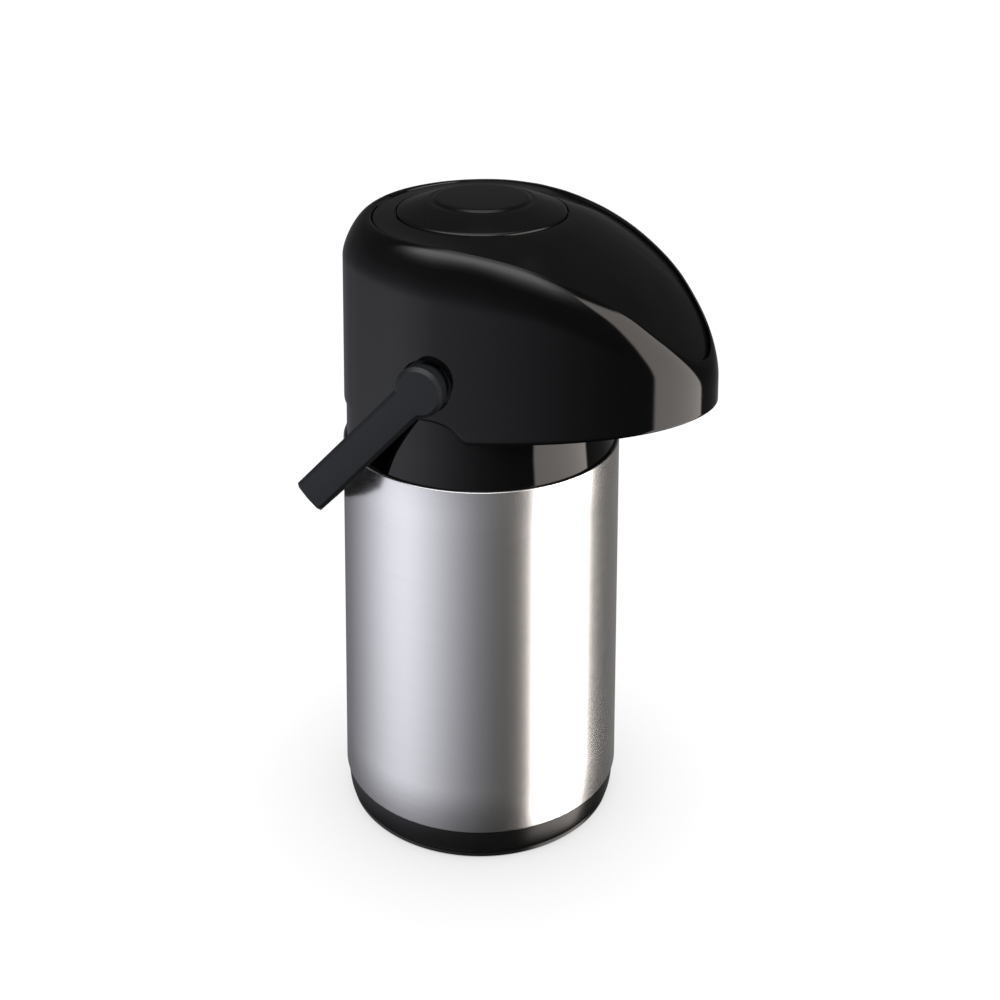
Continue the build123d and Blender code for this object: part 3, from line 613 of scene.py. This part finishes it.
def lid_mesh():
    n = 288
    step = len(GRV_IN) // n
    o = GRV_IN[::step][:n]
    inner_r = 40.35
    a = np.arctan2(o[:, 1], o[:, 0])
    c = np.stack([inner_r * np.cos(a), inner_r * np.sin(a)], -1)
    d = o - c
    L = np.linalg.norm(d, axis=1)[:, None]
    e = d / L
    rows = []

    ze = tab(CREST_Z, -o[:, 1]) - tab(DEPTH, -o[:, 1])
    d_out = ze - crown(o[:, 0], o[:, 1])
    d_in = 285.45 - crown(c[:, 0], c[:, 1])

    def add(t, dz, xy=None):
        """Row at share t of the way from the button hole to the edge."""
        xy = c + d * t if xy is None else xy
        z = crown(xy[:, 0], xy[:, 1]) + d_in * (1 - t) ** 2 + d_out * t ** 2.4 + dz
        rows.append(np.concatenate([xy, np.asarray(z)[:, None]], 1))

    add(0.0, -0.32)
    add(0.0, -0.05, c + e * 0.25)
    add(0.0, 0.0, c + e * 0.6)
    nr = 26
    for i in range(1, nr):
        add(0.04 + 0.93 * i / nr, 0.0)
    add(1.0, 0.0, o - e * 0.4)
    add(1.0, -0.07, o - e * 0.12)
    add(1.0, -0.36)
    add(1.0, -2.5)
    for i in range(5, 0, -1):
        add(i / 6.0, -2.5)
    add(0.0, -2.5)
    idx = [i * n for i in range(len(rows))]
    return make("lid_top", np.concatenate(rows), grid_faces(idx + [0], n), angle=42)


lid = lid_mesh()
place(lid, SATIN, "lid", "satin_black", "lid_panel")

prof = [(49.2, 0), (50.2, 0), (51.0, 0), (52.0, 0), (53.0, 0), (54.0, 0), (55.0, 0), (56.0, 0), (56.8, 0), (57.35, 0)]
k_top = len(prof)
tail = [(57.35, 280.6), (56.9, 279.9), (56.2, 279.6), (55.2, 279.5), (54.0, 279.7), (52.6, 280.3), (51.4, 281.3), (50.2, 281.9), (49.2, 282.1)]
tongue = prism_x("lid_tongue", prof + tail, [-TONGUE, -TONGUE + .15, -5, -2.5, 0, 2.5, 5, TONGUE - .15, TONGUE],
                 zfun=lambda x, y, z, k: (rear_z(x, max(y, -REAR_U + 0.3)) - (0.04 if abs(x) < TONGUE - .1 else 0.2) - (0.0 if y > 51.5 else DEPTH[0][1] + 0.2)) if k < k_top else z, angle=30)
place(tongue, SATIN, "lid", "satin_black")
pin = lathe("hinge_pin", [(0, -9.8), (0.42, -9.8), (0.5, -9.7), (0.5, 9.7), (0.42, 9.8), (0, 9.8)], n=32, axis="X")
for v in pin.data.vertices:
    v.co.y += HINGE_Y * S
    v.co.z += HINGE_Z * S
place(pin, BRIGHT, "lid", "bright_steel", "lid_hinge_pin")
for i, (x, y) in enumerate([(34.0, -33.0), (-34.0, -33.0), (34.0, 33.0), (-34.0, 33.0)]):
    b = lathe(f"lid_boss_{i + 1}", [(1.55, 268.0), (3.6, 268.0), (3.4, 280.8), (1.55, 280.8)], n=40)
    for v in b.data.vertices:
        v.co.x += x * S
        v.co.y += y * S
    place(b, INNER, "lid", "inner_plastic")

seat = lathe("housing_seat", [(40.0, 279.8), (41.75, 279.8), (41.75, 283.1), (40.0, 283.1)], n=128, angle=40)
place(seat, INNER, "lid", "inner_plastic")

# ------------------------------------------------------------------ push button
T = BUTTON_TOP - 0.45
top = [(0, T), (5, T - 0.02), (10, T - 0.07), (15, T - 0.16), (19.5, T - 0.28), (21.3, T - 0.37), (21.8, T - 0.50), (22.2, T - 0.78),
       (22.7, T - 1.28), (23.1, T - 1.50), (23.7, T - 1.58), (24.4, T - 1.54), (25.2, T - 1.56)]
dome = []
for i in range(1, 13):
    t = i / 12
    r = 25.2 + (38.2 - 25.2) * t
    dome.append((r, T - 1.56 - 3.8 * t - 0.6 * t ** 2))
edge = [(38.8, 286.35), (39.25, 285.95), (39.5, 285.45), (BUTTON_R, 284.6), (BUTTON_R, 283.0), (BUTTON_R, 262.0)]
under = [(37.4, 262.0), (37.4, 283.0), (30, 286.0), (24.0, 288.0), (22.0, 288.4), (22.0, 258.0), (20.0, 258.0), (20.0, 288.6), (0, 288.6)]
button = lathe("palm_button", top + dome + edge + under, n=224, angle=30)
place(button, BUTTON, "button", "satin_black", "push_button")


# ------------------------------------------------------------------ carrying handle
def swing(pts):
    """From hanging straight down to the rest angle."""
    c, s = math.cos(REST), math.sin(REST)
    return [(x, y * c - z * s, y * s + z * c + PIVOT_Z) for x, y, z in pts]


OUT_A = [(1.125, 1.212), (0.9, 1.338), (0.7, 1.435), (0.5, 1.552), (0.25, 1.675), (0.0, 1.725)]
IN_A = [(1.031, 1.115), (0.9, 1.188), (0.7, 1.29), (0.5, 1.408), (0.25, 1.545), (0.0, 1.605)]


def spline(pts, n):
    p = np.array(pts, float)
    t = np.concatenate([[0], np.cumsum(np.hypot(*np.diff(p, axis=0).T))])
    out = []
    g = np.linspace(0, t[-1], n)
    m = np.gradient(p, t, axis=0)
    for q in g:
        i = min(max(int(np.searchsorted(t, q)) - 1, 0), len(t) - 2)
        h = t[i + 1] - t[i]
        s = (q - t[i]) / h
        out.append(p[i] * (2 * s ** 3 - 3 * s * s + 1) + m[i] * h * (s ** 3 - 2 * s * s + s) + p[i + 1] * (3 * s * s - 2 * s ** 3) + m[i + 1] * h * (s ** 3 - s * s))
    return np.array(out)


BEV = 1.7
HW = ARM_W / 2


def arm_plate(sign):
    """Keyhole plate: round boss end, straight arm, bevelled round its outer edge, with a low ridge along it."""
    s_j = math.sqrt(BOSS_R ** 2 - HW ** 2)
    end = 78.7
    a0 = math.asin(HW / BOSS_R)

    def outline(d, s_end):
        r, hw = BOSS_R - d, HW - d
        sj = math.sqrt(r * r - hw * hw)
        pts = []
        a_start = math.atan2(hw, sj)
        for i in range(49):
            a = a_start + (2 * math.pi - 2 * a_start) * i / 48
            pts.append((r * math.sin(a), r * math.cos(a)))          # (v, s)
        for i in range(1, 13):
            pts.append((-hw, sj + (s_end - sj) * i / 12))
        for i in range(12, 0, -1):
            pts.append((hw, sj + (s_end - sj) * i / 12))
        return pts

    full = outline(0.0, end)
    inner = outline(BEV, end - 0.05)
    n = len(full)
    verts = [(ARM_X0, v, -s) for v, s in full] + [(ARM_X1 - BEV, v, -s) for v, s in full] + [(ARM_X1 - 0.42, v, -s) for v, s in inner]
    faces = [(k, (k + 1) % n, n + (k + 1) % n, n + k) for k in range(n)]
    faces += [(n + k, n + (k + 1) % n, 2 * n + (k + 1) % n, 2 * n + k) for k in range(n)]
    faces.append(tuple(range(n))[::-1])
    # ridge line from the boss centre to the end
    ridge = [(ARM_X1, 0.0, 0.0)]
    sj = math.sqrt((BOSS_R - BEV) ** 2 - (HW - BEV) ** 2)
    for i in range(0, 13):
        ridge.append((ARM_X1, 0.0, -(sj + (end - 0.05 - sj) * i / 12)))
    base = len(verts)
    verts += ridge
    for k in range(48):
        faces.append((2 * n + k, 2 * n + k + 1, base))
    faces.append((2 * n + 48, base + 1, base))
    faces.append((2 * n + 0, base, base + 1))
    left = [48] + list(range(49, 61))
    right = [0] + list(range(n - 1, n - 13, -1))
    for i in range(12):
        faces.append((2 * n + left[i], 2 * n + left[i + 1], base + 2 + i, base + 1 + i))
        faces.append((2 * n + right[i], base + 1 + i, base + 2 + i, 2 * n + right[i + 1]))
    faces.append((2 * n + left[12], 2 * n + right[12], base + 13))
    verts = [(sign * x, y, z) for x, y, z in verts]
    return swing(verts), faces


def crossbar():
    o = spline([(w * 65, s * 65) for w, s in OUT_A], 40)
    i_ = spline([(w * 65, s * 65) for w, s in IN_A], 40)
    o = np.concatenate([o, o[-2::-1] * [-1, 1]])
    i_ = np.concatenate([i_, i_[-2::-1] * [-1, 1]])
    verts, faces = [], []
    for a, b in zip(o, i_):
        d = (b - a) / np.linalg.norm(b - a)
        mid = a + d * 0.0
        ring = [(a + d * 0.3, -(HW - BEV)), (mid, 0.0), (a + d * 0.3, HW - BEV), (a + d * (BEV + 0.1), HW), (b - d * 0.7, HW), (b, HW - 0.7), (b, -(HW - 0.7)), (b - d * 0.7, -HW), (a + d * (BEV + 0.1), -HW)]
        for q, v in ring:
            verts.append((q[0], v, -q[1]))
    n = 9
    m = len(o)
    for i in range(m - 1):
        for k in range(n):
            l = (k + 1) % n
            faces.append((i * n + k, i * n + l, (i + 1) * n + l, (i + 1) * n + k))
    faces.append(tuple(range(n)))
    faces.append(tuple(range((m - 1) * n, m * n))[::-1])
    return swing(verts), faces


bar = make("handle_crossbar", *crossbar(), angle=24)
place(bar, HANDLE, "handle", "handle_grey", "handle_bail")
for s, nm in ((-1, "l"), (1, "r")):
    arm = make("handle_arm_" + nm, *arm_plate(s), angle=8)
    place(arm, HANDLE, "handle", "handle_grey")
    boss = lathe("handle_boss_" + nm, [(0, 50.0), (6.6, 50.0), (7.0, 50.4), (7.0, 51.2), (5.6, 51.2), (5.6, 52.4), (7.0, 52.4), (7.0, 60.2), (9.0, 60.2), (9.3, 60.6), (9.3, 66.4), (11.3, 66.7), (11.3, 69.5), (0, 69.5)], n=72, axis="X")
    for v in boss.data.vertices:
        x, y, z = v.co
        v.co = (s * x, y, z + PIVOT_Z * S)
    if s < 0:
        boss.data.flip_normals()
    place(boss, HANDLE, "handle", "handle_grey")

# ------------------------------------------------------------------ casing, collar, base, foot
ro, ri = BODY_R, BODY_R - CASING_WALL
casing = lathe("steel_wall", [(ri, CASING_Z0)] + arc(ro - 0.35, CASING_Z0 + 0.35, 0.35, -90, 0, 4) + [(ro, CASING_Z0 + 20), (ro, 96.0), (ro, CASING_Z1 - 20)]
               + arc(ro - 0.35, CASING_Z1 - 0.35, 0.35, 0, 90, 4) + [(ri, CASING_Z1)], n=288, angle=50)
place(casing, STEEL, "pot", "brushed_casing", "steel_casing")

collar = lathe("collar_ring", [(61.0, 166.0), (64.15, 166.0), (64.15, CASING_Z1 - 0.15), (63.75, CASING_Z1 + 0.05), (63.45, CASING_Z1 + 0.15), (COLLAR_R, CASING_Z1 + 0.5), (COLLAR_R, 190.0),
                               (COLLAR_R, 202.0), (COLLAR_R, COLLAR_TOP - 0.3), (COLLAR_R - 0.3, COLLAR_TOP), (61.0, COLLAR_TOP), (61.0, 190.1), (31.0, 185.4), (31.0, 183.0), (61.0, 187.9)], n=288, angle=30)
place(collar, GLOSS, "pot", "gloss_black", "shoulder_collar")


def ear(name, x0, x1, hole):
    """Upright ear with a round hole for the handle bush."""
    outer, inner = [], []
    n = 64
    for i in range(n):
        a = 2 * math.pi * i / n
        c, s = math.cos(a), math.sin(a)
        if s >= 0:
            outer.append((12 * c, 12 * s))
        else:
            k = min(12 / max(abs(c), 1e-9), 22.0 / max(abs(s), 1e-9))
            outer.append((k * c, k * s))
        inner.append((hole * c, hole * s))
    verts = [(x, y, z + PIVOT_Z) for x in (x0, x1) for y, z in outer] + [(x, y, z + PIVOT_Z) for x in (x0, x1) for y, z in inner]
    f = []
    for k in range(n):
        l = (k + 1) % n
        f += [(k, l, n + l, n + k), (2 * n + k, 3 * n + k, 3 * n + l, 2 * n + l), (k, 2 * n + k, 2 * n + l, l), (n + k, n + l, 3 * n + l, 3 * n + k)]
    return make(name, verts, f, angle=30)


for s, nm in ((-1, "l"), (1, "r")):
    place(ear("collar_ear_" + nm, *sorted((s * 53.5, s * 58.5)), 9.0), INNER, "pot", "inner_plastic")
    place(box("collar_lug_" + nm, *sorted((s * 58.6, s * 60.9)), -12, 12, 190.5, 212.0), INNER, "pot", "inner_plastic")
for i, a in enumerate((35, 145, 215, 325)):
    x, y = 57.4 * math.cos(math.radians(a)), 57.4 * math.sin(math.radians(a))
    b = lathe(f"collar_boss_{i + 1}", [(1.45, 196.0), (3.5, 196.0), (3.5, 212.9), (1.45, 212.9)], n=40)
    for v in b.data.vertices:
        v.co.x += x * S
        v.co.y += y * S
    place(b, INNER, "pot", "inner_plastic")

base = lathe("base_cup_skin", [(8.05, 4.2), (58.0, 4.2), (60.2, FOOT_TOP + 0.1), (62.2, FOOT_TOP + 0.1), (62.75, FOOT_TOP + 0.25), (63.05, 3.6), (63.25, 4.4), (63.55, 6.2), (63.8, 8.4), (64.0, 10.8), (64.1, 13.2), (64.1, 26.0),
                               (61.8, 26.0), (61.8, 9.0), (60.0, 6.4), (8.05, 6.4)], n=256, angle=26)
place(base, BASE, "pot", "base_black", "base_cup")

band = lathe("foot_edge", [(60.6, 0.45), (61.8, 0.45), (62.15, 0.8), (62.2, 1.6), (62.0, 2.3), (61.5, 2.6), (60.6, 2.6)], n=256, angle=40)
place(band, BASE, "foot", "base_black")

# ------------------------------------------------------------------ bellows and return spring, copied from the CAD and pulled in a little along their normals
for nm, mat in (("bellows", RUBBER), ("return_spring", BRIGHT)):
    src = frame["nodes"][nm]
    ob = bpy.data.objects.new(nm + "_soft", src.data.copy())
    scene.collection.objects.link(ob)
    bm = bmesh.new()
    bm.from_mesh(ob.data)
    bmesh.ops.remove_doubles(bm, verts=bm.verts, dist=1e-6)
    bmesh.ops.recalc_face_normals(bm, faces=bm.faces)
    bm.normal_update()
    for v, q in [(v, v.co - v.normal * 0.00006) for v in bm.verts]:
        v.co = q
    bm.to_mesh(ob.data)
    bm.free()
    ob.data.shade_smooth()
    ob.data.set_sharp_from_angle(angle=math.radians(35))
    place(ob, mat, "lid", "rubber_dark" if nm == "bellows" else "bright_steel", nm)
    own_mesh(ob)

# ------------------------------------------------------------------ camera
cam = bpy.data.objects.new("camera", bpy.data.cameras.new("camera"))
scene.collection.objects.link(cam)
scene.camera = cam
psi, pit, rho = 0.010734, 0.16476, 0.003787
fwd = Vector((math.sin(psi) * math.cos(pit), math.cos(psi) * math.cos(pit), -math.sin(pit)))
right = Vector((math.cos(psi), -math.sin(psi), 0))
up = right.cross(fwd)
r2 = right * math.cos(rho) + up * math.sin(rho)
u2 = -right * math.sin(rho) + up * math.cos(rho)


def to_row(v):
    return Vector((0.3806 * v.x + 0.9248 * v.y, -0.9248 * v.x + 0.3806 * v.y, v.z))


r2, u2, fw = to_row(r2).normalized(), to_row(u2).normalized(), to_row(fwd).normalized()
loc = to_row(Vector((0, -11.4158, 7.8322))) * 0.065
m = Matrix((r2, u2, -fw)).transposed().to_4x4()
m.translation = loc
cam.matrix_world = m
cam.data.lens = 59.85
cam.data.sensor_width = 36.0
cam.data.shift_y = -0.5035
cam.data.clip_start, cam.data.clip_end = 0.02, 20.0
CAM_X = round(loc.x, 4)
drv = cam.data.driver_add("shift_y").driver
drv.type = "SCRIPTED"
var = drv.variables.new()
var.name, var.type = "x", "TRANSFORMS"
var.targets[0].id = cam
var.targets[0].transform_type, var.targets[0].transform_space = "LOC_X", "WORLD_SPACE"
drv.expression = f"-0.5035 if abs(x - ({CAM_X})) < 0.001 else 0.0"

# ------------------------------------------------------------------ studio light
world = bpy.data.worlds.new("studio")
scene.world = world
world.use_nodes = True
nt = world.node_tree
nt.nodes.clear()
wo = N(nt, "ShaderNodeOutputWorld")
tc = N(nt, "ShaderNodeTexCoord")
sep = N(nt, "ShaderNodeSeparateXYZ", ins={0: tc.outputs["Generated"]})
dx, dy, dz = sep.outputs
# c points from the pot to the camera on the ground, the other axis to its right
a = math_node(nt, "ADD", math_node(nt, "MULTIPLY", dx, -0.9247), math_node(nt, "MULTIPLY", dy, -0.3807))
b = math_node(nt, "ADD", math_node(nt, "MULTIPLY", dx, 0.3807), math_node(nt, "MULTIPLY", dy, -0.9247))
alpha = math_node(nt, "MULTIPLY", math_node(nt, "ARCTAN2", b, a), 180 / math.pi)
elev = math_node(nt, "MULTIPLY", math_node(nt, "ARCSINE", dz), 180 / math.pi)


def ramp(x, x0, x1, stops, interp="LINEAR"):
    f = math_node(nt, "DIVIDE", math_node(nt, "SUBTRACT", x, x0), x1 - x0, clamp=True)
    r = N(nt, "ShaderNodeValToRGB")
    cr = r.color_ramp
    cr.interpolation = interp
    stops = sorted(stops)
    while len(cr.elements) < len(stops):
        cr.elements.new(0.5)
    for e, (p, _) in zip(cr.elements, stops):
        e.position = (p - x0) / (x1 - x0)
    for e, (p, c) in zip(cr.elements, stops):
        e.position = (p - x0) / (x1 - x0)
        c = c if isinstance(c, tuple) else (c, c, c)
        e.color = (c[0], c[1], c[2], 1)
    nt.links.new(f, r.inputs[0])
    return r.outputs[0]


def box_mask(x, lo, hi, soft):
    u = math_node(nt, "DIVIDE", math_node(nt, "SUBTRACT", x, lo - soft), 2 * soft, clamp=True)
    v = math_node(nt, "DIVIDE", math_node(nt, "SUBTRACT", hi + soft, x), 2 * soft, clamp=True)
    return math_node(nt, "MULTIPLY", u, v)


COOL = (0.955, 0.965, 1.06)


def cool(v):
    return (v * COOL[0], v * COOL[1], v * COOL[2])


broad = ramp(alpha, -180, 180, [(-180, cool(.24)), (-165, cool(.15)), (-140, cool(.23)), (-118, cool(.50)), (-100, cool(.90)), (-82, cool(1.36)), (-66, cool(1.54)), (-52, cool(1.38)), (-38, cool(1.05)),
                                (-24, cool(.70)), (-12, cool(.46)), (0, cool(.27)), (12, (.16, .155, .152)), (26, (.10, .096, .094)), (44, (.10, .096, .094)), (104, (.12, .115, .11)), (118, (.13, .125, .12)),
                                (140, (.19, .185, .18)), (160, (.25, .25, .25)), (180, cool(.24))])
el_low = ramp(elev, -90, 90, [(-90, 0.2), (-50, 0.12), (-42, 0.17), (-37.5, 0.64), (-34, 0.83), (-30, 0.94), (-26, 1.0), (-20, 1.0), (-14, 0.85), (0, 0.35), (12, 0.12), (30, 0.05), (90, 0.0)])
low = N(nt, "ShaderNodeMix", data_type="RGBA", blend_type="MULTIPLY", ins={0: 1.0, 6: broad, 7: el_low})
top_l = ramp(elev, -90, 90, [(-90, 0.0), (-6, 0.0), (6, .045), (20, .075), (32, .09), (44, .105), (58, .105), (66, .45), (73, 1.7), (80, 2.4), (90, 2.4)])
lean = math_node(nt, "MULTIPLY", math_node(nt, "MAXIMUM", math_node(nt, "ADD", elev, 14.0), 0.0), 0.22)
strip = math_node(nt, "MULTIPLY", box_mask(math_node(nt, "ADD", alpha, lean), 44.2, 97.8, 1.2), box_mask(elev, -45, 40, 2.5))
# broad soft panel over the camera side
near = math_node(nt, "MULTIPLY", box_mask(alpha, -84, 27, 15.0), ramp(elev, -90, 90, [(-90, 0.0), (22, 0.0), (28, .40), (35, 1.9), (43, 4.6), (53, 5.8), (64, 3.8), (73, 1.0), (82, 0.0), (90, 0.0)]))
strip_c = N(nt, "ShaderNodeMix", data_type="RGBA", ins={0: strip})
strip_c.inputs[6].default_value = (0, 0, 0, 1)
strip_c.inputs[7].default_value = (5.6, 5.2, 4.9, 1)
s1 = N(nt, "ShaderNodeMix", data_type="RGBA", blend_type="ADD", ins={0: 1.0, 6: low.outputs[2], 7: top_l})
s1b = N(nt, "ShaderNodeMix", data_type="RGBA", blend_type="ADD", ins={0: 1.0, 6: s1.outputs[2], 7: near})
s2 = N(nt, "ShaderNodeMix", data_type="RGBA", blend_type="ADD", ins={0: 1.0, 6: s1b.outputs[2], 7: strip_c.outputs[2]})
for s_ in (low, s1, s1b, s2):
    s_.clamp_result = False
bg_env = N(nt, "ShaderNodeBackground", ins={0: s2.outputs[2], 1: 1.0})
bg_cam = N(nt, "ShaderNodeBackground", ins={0: (1, 1, 1, 1), 1: 1.0})
lp = N(nt, "ShaderNodeLightPath")
mixw = N(nt, "ShaderNodeMixShader", ins={0: lp.outputs["Is Camera Ray"], 1: bg_env.outputs[0], 2: bg_cam.outputs[0]})
nt.links.new(mixw.outputs[0], wo.inputs[0])

# ------------------------------------------------------------------ floor: glowing pale plane with a painted contact shadow
fl = bpy.data.meshes.new("floor")
fl.from_pydata([(-6, -6, 0), (6, -6, 0), (6, 6, 0), (-6, 6, 0)], [], [(0, 1, 2, 3)])
floor = bpy.data.objects.new("floor", fl)
scene.collection.objects.link(floor)
fm = bpy.data.materials.new("floor_pale_painted_shadow")
ft = nodes_of(fm)
fo = N(ft, "ShaderNodeOutputMaterial")
ftc = N(ft, "ShaderNodeTexCoord")
fs = N(ft, "ShaderNodeSeparateXYZ", ins={0: ftc.outputs["Object"]})
rr = math_node(ft, "SQRT", math_node(ft, "ADD", math_node(ft, "MULTIPLY", fs.outputs[0], fs.outputs[0]), math_node(ft, "MULTIPLY", fs.outputs[1], fs.outputs[1])))
fn = N(ft, "ShaderNodeTexNoise", ins={"Vector": ftc.outputs["Object"], "Scale": 90.0, "Detail": 3.0})
# painted contact shadow: ambient occlusion darkens the glowing floor near the pot
ao = N(ft, "ShaderNodeAmbientOcclusion", samples=12, ins={"Distance": 0.072})
painted_contact_shadow = math_node(ft, "POWER", ao.outputs["AO"], 0.34)
tint = math_node(ft, "MULTIPLY_ADD", fn.outputs["Fac"], 0.004, 1.03)
floor_glow_with_painted_shadow = math_node(ft, "MULTIPLY", painted_contact_shadow, tint)
em = N(ft, "ShaderNodeEmission", ins={0: (1, 1, 1, 1), 1: floor_glow_with_painted_shadow})
ft.links.new(em.outputs[0], fo.inputs[0])
fl.materials.append(fm)
floor.visible_glossy = False
floor.visible_diffuse = False

scene.view_settings.view_transform = "Standard"
scene.view_settings.look = "None"
scene.view_settings.exposure = 0.0
scene.view_settings.gamma = 1.0

bpy.context.view_layer.update()
